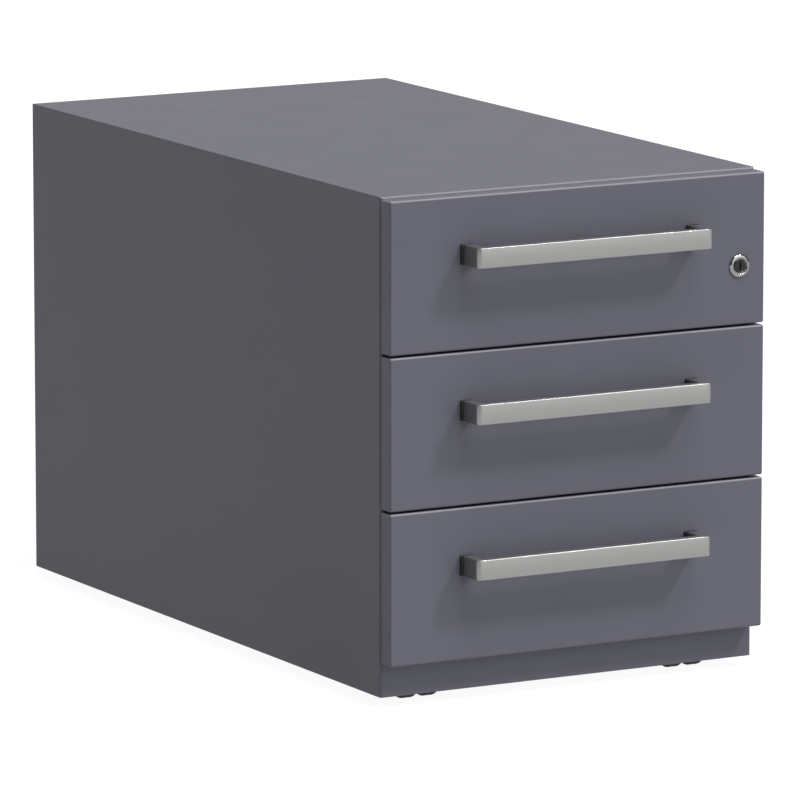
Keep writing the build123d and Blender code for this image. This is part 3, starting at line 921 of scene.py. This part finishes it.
# ---- Cabinet ----
@dataclass
class Carcass:
    """The still pieces: panels, posts, buffers, and the castors' plates and screws."""

    palette: Palette
    painted: tuple[str, ...] = (
        "left_side_panel",
        "right_side_panel",
        "top_panel",
        "back_panel",
        "base_panel",
        "plinth_panel",
        "rail_posts",
    )

    def build(self) -> None:
        """Dress every still piece."""
        for node in self.painted:
            self.palette.dress_node(node, Finish.CARCASS)
        self.palette.dress_node("front_buffers", Finish.BUFFER)
        self.palette.dress_node("castor_plates", Finish.PLATED)
        self.palette.dress_node("castor_screws", Finish.SCREW)


@dataclass
class Drawer:
    """One drawer: its folded front, liner, tray, screws and catch."""

    palette: Palette
    number: int

    def build(self) -> None:
        """Dress the drawer's steelwork and fittings."""
        for part in ("drawer_front", "front_liner", "drawer_tray"):
            self.palette.dress_node(f"{part}_{self.number}", Finish.DRAWER)
        self.palette.dress_node(f"handle_screws_{self.number}", Finish.SCREW)
        self.palette.dress_node(f"catch_hook_{self.number}", Finish.PLATED)


@dataclass
class BowHandle:
    """A satin silver bow: a flat bar turned back into two legs, each on a dark pad."""

    palette: Palette
    number: int
    section: float = 9.5 * MM
    leg: float = 10.0 * MM
    pad_proud: float = 1.8 * MM
    pad_depth: float = 3.6 * MM
    outer_bend: float = 5.0 * MM
    inner_bend: float = 3.0 * MM
    bend_flats: int = 8
    inner_flats: int = 6
    edge: float = 2.2 * MM
    edge_flats: int = 5
    edge_angle: float = 60.0
    pad_edge: float = 0.6 * MM
    pad_crown: float = 0.06 * MM
    pad_flats: int = 3
    pad_angle: float = 40.0
    near: float = 0.01 * MM

    def build(self) -> None:
        """Model the bow and its pads in place of the CAD node."""
        node = f"handle_{self.number}"
        body = f"drawer_{self.number}"
        low, high = corners(node)
        half = high.x - self.pad_proud
        bow = self._bow(half, low, high)
        self.palette.mount(bow, body, Finish.HANDLE, (node,))
        pads = self._pads(half, low, high)
        self.palette.mount(pads, body, Finish.BUFFER, (node,))

    def _bow(self, half: float, low: Vector, high: Vector) -> bpy.types.Object:
        """Model the bar and its two legs.

        Args:
            half: Half the bow's width across its legs.
            low: The CAD handle's lowest corner.
            high: The CAD handle's highest corner.

        Returns:
            The bow.
        """
        back = low.y + self.section
        inner = half - self.leg
        start = Vector((-half, low.y, low.z))
        bow = Workbench.cube(f"bow_{self.number}", start, Vector((half, back, high.z)))
        with Edit(bow) as edit:
            for side in Side:
                edit.cut(Vector((side.value * inner, 0, 0)), Vector((1, 0, 0)))
            edit.faces(lambda centre, normal: normal.y > FACING and abs(centre.x) > inner)
            edit.extrude(Vector((0, high.y - self.pad_depth - back, 0)))
            edit.edges(lambda a, b: self._upright_at(a, b, half, low.y))
            edit.bevel(self.outer_bend, self.bend_flats)
            edit.edges(lambda a, b: self._upright_at(a, b, inner, back))
            edit.bevel(self.inner_bend, self.inner_flats)
            edit.tidy()
        Workbench.round_edges(bow, self.edge, self.edge_flats, self.edge_angle)
        Workbench.smooth(bow)
        return bow

    def _upright_at(self, first: Vector, second: Vector, x: float, y: float) -> bool:
        """Whether an edge is upright and stands at one X, on either side, and one Y."""
        upright = (first.xy - second.xy).length < self.near
        return upright and abs(abs(first.x) - x) < self.near and abs(first.y - y) < self.near

    def _pads(self, half: float, low: Vector, high: Vector) -> bpy.types.Object:
        """Model the pad under each leg.

        Args:
            half: Half the bow's width across its legs.
            low: The CAD handle's lowest corner.
            high: The CAD handle's highest corner.

        Returns:
            Both pads, as one piece.
        """
        reach = self.leg + 2 * self.pad_proud
        corner = Vector((high.x - reach, high.y - self.pad_depth, low.z))
        pad = Workbench.cube(f"handle_pads_{self.number}", corner, high)
        with Edit(pad) as edit:
            edit.faces(lambda centre, normal: normal.y < -FACING)
            edit.inset(self.pad_edge)
            edit.move(Vector((0, -self.pad_crown, 0)))
            edit.tidy()
        Workbench.round_edges(pad, self.pad_edge, self.pad_flats, self.pad_angle)
        twin = Workbench.copy(pad, "twin_pad", Vector((reach - high.x - half - self.pad_proud, 0, 0)))
        pads = Workbench.join([pad, twin], f"handle_pads_{self.number}")
        Workbench.smooth(pads)
        return pads


@dataclass
class CylinderLock:
    """The round lock: a crowned chrome bezel, a dished plug with its keyway, and the plated gear."""

    palette: Palette
    sides: int = 96
    proud: float = 2.4 * MM
    bezel_wall: float = 0.9 * MM
    barrel: float = 9.5 * MM
    bore: float = 7.05 * MM
    crown: tuple[tuple[float, float], ...] = (
        (0.5 * MM, -0.6 * MM),
        (0.7 * MM, -0.5 * MM),
        (0.8 * MM, -0.3 * MM),
        (0.6 * MM, -0.1 * MM),
        (0.5 * MM, 0.1 * MM),
        (0.4 * MM, 0.5 * MM),
        (0.15 * MM, 0.7 * MM),
    )
    plug_chamfer: float = 0.35 * MM
    plug_face: tuple[tuple[float, float], ...] = (
        (0.55 * MM, 0.0),
        (0.3 * MM, 0.25 * MM),
        (0.9 * MM, 0.12 * MM),
    )
    plug_rear: float = -350.0 * MM
    tail: float = 3.5 * MM
    keyway: Vector = Vector((2.0, 12.0, 8.5)) * MM
    ward: Vector = Vector((1.0, 12.0, 2.4)) * MM
    # The next settings place and shape a black leaf inside the keyway: painted shade that keeps the keyway
    # dark.
    shade_depth: float = 1.6 * MM
    shade_sheet: float = 0.6 * MM
    shade_share: float = 0.9
    shade_edge: float = 0.2 * MM
    shade_flats: int = 2
    shade_angle: float = 60.0
    bezel_smooth: float = 48.0
    near: float = 0.1 * MM

    def build(self) -> None:
        """Model the bezel and the plug, and dress the bar that they work."""
        self.palette.mount(self._bezel(), "drawer_1", Finish.CHROME, ("lock_body",))
        self.palette.mount(self._plug(), "lock_cylinder", Finish.PLUG, ("lock_plug",))
        # A black leaf just inside the keyway paints the shade in it.
        self.palette.mount(self._keyway_shade(), "lock_cylinder", Finish.CASTOR)
        for node in ("lock_nut", "lock_cam", "lock_bar"):
            self.palette.dress_node(node, Finish.PLATED)
        self.palette.dress_node("lock_bar_guides", Finish.GUIDE)

    def _bezel(self) -> bpy.types.Object:
        """Model the crowned ring with its barrel and bore."""
        low, high = corners("lock_body")
        radius = (high.x - low.x) / 2
        face = low.y + self.proud
        middle = Vector((low.x + radius, face - self.bezel_wall / 2, low.z + radius))
        bezel = Workbench.drum("lock_bezel", middle, radius, self.bezel_wall, Axis.Y, self.sides)
        with Edit(bezel) as edit:
            edit.faces(lambda centre, normal: normal.y > FACING)
            edit.inset(radius - self.barrel)
            edit.extrude(Vector((0, high.y - face, 0)))
            edit.inset(self.barrel - self.bore)
            edit.faces(lambda centre, normal: normal.y < -FACING)
            for width, depth in self.crown:
                edit.inset(width, depth)
            edit.inset(radius - sum(width for width, _ in self.crown) - self.bore)
            edit.faces(lambda centre, normal: abs(normal.y) > FACING and self._on_axis(centre, middle))
            edit.bridge()
            edit.tidy()
        Workbench.smooth(bezel, self.bezel_smooth)
        return bezel

    def _on_axis(self, point: Vector, middle: Vector) -> bool:
        """Whether a point lies on the lock's axis."""
        return math.hypot(point.x - middle.x, point.z - middle.z) < self.near

    def _plug(self) -> bpy.types.Object:
        """Model the turning plug with its dished face, its tail and its keyway."""
        low, high = corners("lock_plug")
        radius = (high.x - low.x) / 2
        front = low.y + self.plug_chamfer
        middle = Vector((low.x + radius, (front + self.plug_rear) / 2, low.z + radius))
        plug = Workbench.drum("lock_core", middle, radius, self.plug_rear - front, Axis.Y, self.sides)
        with Edit(plug) as edit:
            edit.faces(lambda centre, normal: normal.y > FACING)
            edit.inset(radius - self.tail)
            edit.extrude(Vector((0, high.y - self.plug_rear, 0)))
            edit.faces(lambda centre, normal: normal.y < -FACING)
            edit.inset(self.plug_chamfer, -self.plug_chamfer)
            for width, depth in self.plug_face:
                edit.inset(width, depth)
            edit.tidy()
        mouth = Vector((middle.x, low.y + self.keyway.y / 2, middle.z))
        Workbench.carve(plug, self._slot("keyway", mouth, self.keyway))
        side = mouth + Vector((self.keyway.x / 2, 0, 0))
        Workbench.carve(plug, self._slot("ward", side, self.ward))
        Workbench.smooth(plug)
        return plug

    def _slot(self, name: str, middle: Vector, size: Vector) -> bpy.types.Object:
        """Make the cutter of one slot in the plug's face."""
        return Workbench.cube(name, middle - size / 2, middle + size / 2)

    def _keyway_shade(self) -> bpy.types.Object:
        """Model the black leaf set just behind the keyway's mouth: painted shade that keeps the keyway dark.
        """
        low, high = corners("lock_plug")
        middle = (low + high) / 2
        size = self.shade_share * self.keyway
        front = low.y + self.shade_depth
        corner = Vector((middle.x - size.x / 2, front, middle.z - size.z / 2))
        far = Vector((middle.x + size.x / 2, front + self.shade_sheet, middle.z + size.z / 2))
        leaf = Workbench.cube("lock_keyway_shade", corner, far)
        Workbench.round_edges(leaf, self.shade_edge, self.shade_flats, self.shade_angle)
        Workbench.smooth(leaf)
        return leaf


@dataclass
class TelescopicRails:
    """The rails of one drawer."""

    palette: Palette
    number: int

    def build(self) -> None:
        """Dress the three members on each side."""
        for member in ("outer_rails", "mid_rails", "inner_rails"):
            self.palette.dress_node(f"{member}_{self.number}", Finish.RAIL)


@dataclass
class TwinWheelCastor:
    """One concealed castor: hood, axle and two ribbed wheels."""

    palette: Palette
    place: str
    sides: int = 64
    bore: float = 2.55 * MM
    bore_depth: float = 11.0 * MM
    tread_edge: float = 2.5 * MM
    tread_flats: int = 4
    groove: float = 0.8 * MM
    groove_lip: float = 0.4 * MM
    groove_floor: float = 0.975
    rim: float = 5.2 * MM
    dish: float = 2.0 * MM
    wall: float = 0.3 * MM
    hub: float = 5.0 * MM
    hub_rise: float = 1.8 * MM
    cap: float = 2.2 * MM
    ribs: int = 6
    rib_sheet: float = 1.2 * MM
    rib_rise: float = 1.4 * MM

    def build(self) -> None:
        """Model both wheels and dress the hood and axle."""
        self.palette.dress_node(f"castor_hood_{self.place}", Finish.CASTOR)
        self.palette.dress_node(f"castor_axle_{self.place}", Finish.PLATED)
        for letter, side in (("l", Side.LEFT), ("r", Side.RIGHT)):
            name = f"{letter}_{self.place}"
            wheel = self._wheel(name, side)
            self.palette.mount(wheel, f"wheel_{name}", Finish.WHEEL, (f"wheel_{name}",))

    def _wheel(self, name: str, side: Side) -> bpy.types.Object:
        """Model one wheel.

        Args:
            name: The wheel's letter and place.
            side: The side of the castor that its outer face is on.

        Returns:
            The wheel.
        """
        low, high = corners(f"wheel_{name}")
        middle = (low + high) / 2
        radius = (high.z - low.z) / 2
        width = high.x - low.x
        wheel = Workbench.drum(f"ribbed_wheel_{name}", middle, radius, width, Axis.X, self.sides)
        with Edit(wheel) as edit:
            edit.faces(lambda centre, normal: normal.x * side.value < -FACING)
            edit.inset(radius - self.bore)
            edit.extrude(Vector((side.value * self.bore_depth, 0, 0)))
            edit.faces(lambda centre, normal: self._is_outer(centre, normal, middle, width, side))
            edit.inset(self.rim)
            edit.inset(self.wall, self.dish)
            edit.inset(radius - self.rim - self.wall - self.hub)
            edit.inset(self.wall, -self.hub_rise)
            edit.inset(self.cap)
            edit.inset(self.wall, self.wall)
            edit.edges(lambda a, b: self._on_rim(a, b, middle, radius, width))
            edit.bevel(self.tread_edge, self.tread_flats)
            lip = self.groove + self.groove_lip
            for offset in (-lip, -self.groove, self.groove, lip):
                edit.cut(middle + Vector((offset, 0, 0)), Vector((1, 0, 0)))
            edit.faces(lambda centre, normal: self._in_groove(centre, normal, middle, radius))
            edit.resize(Vector((1, self.groove_floor, self.groove_floor)), middle)
            edit.tidy()
        wheel = Workbench.join([wheel, *self._ribs(middle, radius, width, side)], wheel.name)
        Workbench.smooth(wheel)
        return wheel

    @staticmethod
    def _is_outer(centre: Vector, normal: Vector, middle: Vector, width: float, side: Side) -> bool:
        """Whether a face is the wheel's outer flat, and not the bottom of its bore."""
        return normal.x * side.value > FACING and abs(centre.x - middle.x) > width / 3

    def _on_rim(self, first: Vector, second: Vector, middle: Vector, radius: float, width: float) -> bool:
        """Whether an edge is part of one of the two circles where the tread meets a face."""
        ends = (first - middle, second - middle)
        at_face = all(abs(abs(end.x) - width / 2) < self.wall / 2 for end in ends)
        return at_face and all(end.yz.length > radius - self.wall for end in ends)

    def _in_groove(self, centre: Vector, normal: Vector, middle: Vector, radius: float) -> bool:
        """Whether a face is in the middle band of the tread."""
        away = centre - middle
        round_face = abs(normal.x) < 1 - FACING
        return round_face and abs(away.x) < self.groove and away.yz.length > radius - self.tread_edge

    def _ribs(self, middle: Vector, radius: float, width: float, side: Side) -> list[bpy.types.Object]:
        """Model the ribs that stand in the wheel's dish between its hub and its rim."""
        floor = middle.x + side.value * (width / 2 - self.dish)
        top = floor + side.value * self.rib_rise
        inner = self.hub - self.wall
        outer = radius - self.rim
        ribs = []
        for number in range(self.ribs):
            corner = Vector((min(floor, top), middle.y - self.rib_sheet / 2, middle.z + inner))
            far = Vector((max(floor, top), middle.y + self.rib_sheet / 2, middle.z + outer))
            rib = Workbench.cube(f"rib_{number}", corner, far)
            Workbench.turn(rib, number * 360 / self.ribs, "X", middle)
            ribs.append(rib)
        return ribs


# ---- Studio ----
@dataclass(frozen=True)
class SkyLamp:
    """A broad distant light; azimuth 0 shines from in front of the cabinet."""

    name: str
    azimuth: float
    elevation: float
    softness: float
    strength: float


@dataclass
class Studio:
    """The pale floor, the soft lights and the camera."""

    floor_half: float = 400.0
    floor_colour: Colour = (0.1, 0.1, 0.1)
    floor_glow: float = 0.94
    floor_shade: float = 0.985
    floor_grain: float = 300.0
    floor_mottle: float = 2.0
    floor_roughness: tuple[float, float] = (0.9, 1.0)
    floor_specular: float = 0.1
    horizon: float = 0.08
    zenith: float = 0.36
    lens: float = 350.4
    camera_azimuth: float = -28.9
    camera_elevation: float = 10.0
    camera_distance: float = 7.901
    aim_offset: tuple[float, float, float] = (0.0, -0.0098, -0.0167)
    lamps: tuple[SkyLamp, ...] = (
        SkyLamp("key", 3.0, 70.0, 30.0, 2.3),
        SkyLamp("front_fill", 24.0, 16.0, 60.0, 1.85),
        SkyLamp("edge_light", 45.3, 48.0, 9.0, 2.0),
        SkyLamp("rear_fill", 152.0, 18.0, 46.0, 0.3),
    )

    def build(self) -> None:
        """Lay the floor, hang the lights and place the camera."""
        self._floor()
        self._world()
        for lamp in self.lamps:
            self._hang(lamp)
        self._camera()
        bpy.context.scene.view_settings.view_transform = "Standard"
        LOG.info("studio ready with %d lamps", len(self.lamps))

    @staticmethod
    def _direction(azimuth: float, elevation: float) -> Vector:
        """The unit vector towards a place round the cabinet; azimuth 0 is in front of it."""
        turn, rise = math.radians(azimuth), math.radians(elevation)
        return Vector((math.sin(turn) * math.cos(rise), -math.cos(turn) * math.cos(rise), math.sin(rise)))

    @staticmethod
    def _centre() -> Vector:
        """The middle of the cabinet's box."""
        return (Vector(CAD_BOX[0]) + Vector(CAD_BOX[1])) / 2

    def _floor(self) -> None:
        """Lay one large pale sheet under the cabinet."""
        Workbench.clear()
        bpy.ops.mesh.primitive_plane_add(size=2 * self.floor_half, location=(0, 0, 0))
        sheet = Workbench.settle("studio_floor")
        material, nodes, shader = blank_material("floor_paper")
        smooth, rough = self.floor_roughness
        grain = PowderGrain.place(
            nodes, Grain=self.floor_grain, Mottle=self.floor_mottle, Rough_Low=smooth, Rough_High=rough
        )
        darker = tuple(self.floor_shade * part for part in self.floor_colour)
        nodes.join(nodes.mix(grain.outputs["Tone"], darker, self.floor_colour), shader.inputs["Base Color"])
        nodes.join(grain.outputs["Roughness"], shader.inputs["Roughness"])
        shader.inputs["Specular IOR Level"].default_value = self.floor_specular
        shader.inputs["Emission Color"].default_value = (1.0, 1.0, 1.0, 1.0)
        shader.inputs["Emission Strength"].default_value = self.floor_glow
        sheet.data.materials.append(material)

    def _world(self) -> None:
        """Light the surroundings, darker at the horizon than overhead."""
        world = bpy.data.worlds.new("studio_surround")
        world.use_nodes = True
        sheet = NodeSheet(world.node_tree)
        heading = sheet.add("TexCoord").outputs["Generated"]
        parts = sheet.add("SeparateXYZ")
        sheet.join(heading, parts.inputs["Vector"])
        strength = sheet.spread(parts.outputs["Z"], self.horizon, self.zenith)
        sheet.join(strength, world.node_tree.nodes["Background"].inputs["Strength"])
        world.node_tree.nodes["Background"].inputs["Color"].default_value = (1.0, 1.0, 1.0, 1.0)
        bpy.context.scene.world = world

    def _hang(self, lamp: SkyLamp) -> None:
        """Hang one lamp so that it shines on the cabinet."""
        data = bpy.data.lights.new(lamp.name, "SUN")
        data.angle = math.radians(lamp.softness)
        data.energy = lamp.strength
        light = bpy.data.objects.new(lamp.name, data)
        heading = self._direction(lamp.azimuth, lamp.elevation)
        light.location = self._centre() + self.camera_distance * heading
        light.rotation_euler = (-heading).to_track_quat("-Z", "Y").to_euler()
        bpy.context.scene.collection.objects.link(light)

    def _camera(self) -> None:
        """Place the camera and make it the scene's."""
        target = self._centre() + Vector(self.aim_offset)
        data = bpy.data.cameras.new("camera")
        data.lens = self.lens
        data.clip_end = 2 * self.floor_half
        camera = bpy.data.objects.new("camera", data)
        heading = self._direction(self.camera_azimuth, self.camera_elevation)
        camera.location = target + self.camera_distance * heading
        camera.rotation_euler = (target - camera.location).to_track_quat("-Z", "Y").to_euler()
        bpy.context.scene.collection.objects.link(camera)
        bpy.context.scene.camera = camera


def main() -> None:
    """Build the studio and the cabinet."""
    logging.basicConfig(level=logging.INFO, format="%(name)s: %(message)s")
    palette = Palette()
    Studio().build()
    Carcass(palette).build()
    CylinderLock(palette).build()
    for number in DRAWERS:
        Drawer(palette, number).build()
        BowHandle(palette, number).build()
        TelescopicRails(palette, number).build()
    for place in CASTOR_PLACES:
        TwinWheelCastor(palette, place).build()


if __name__ == "__main__":
    main()
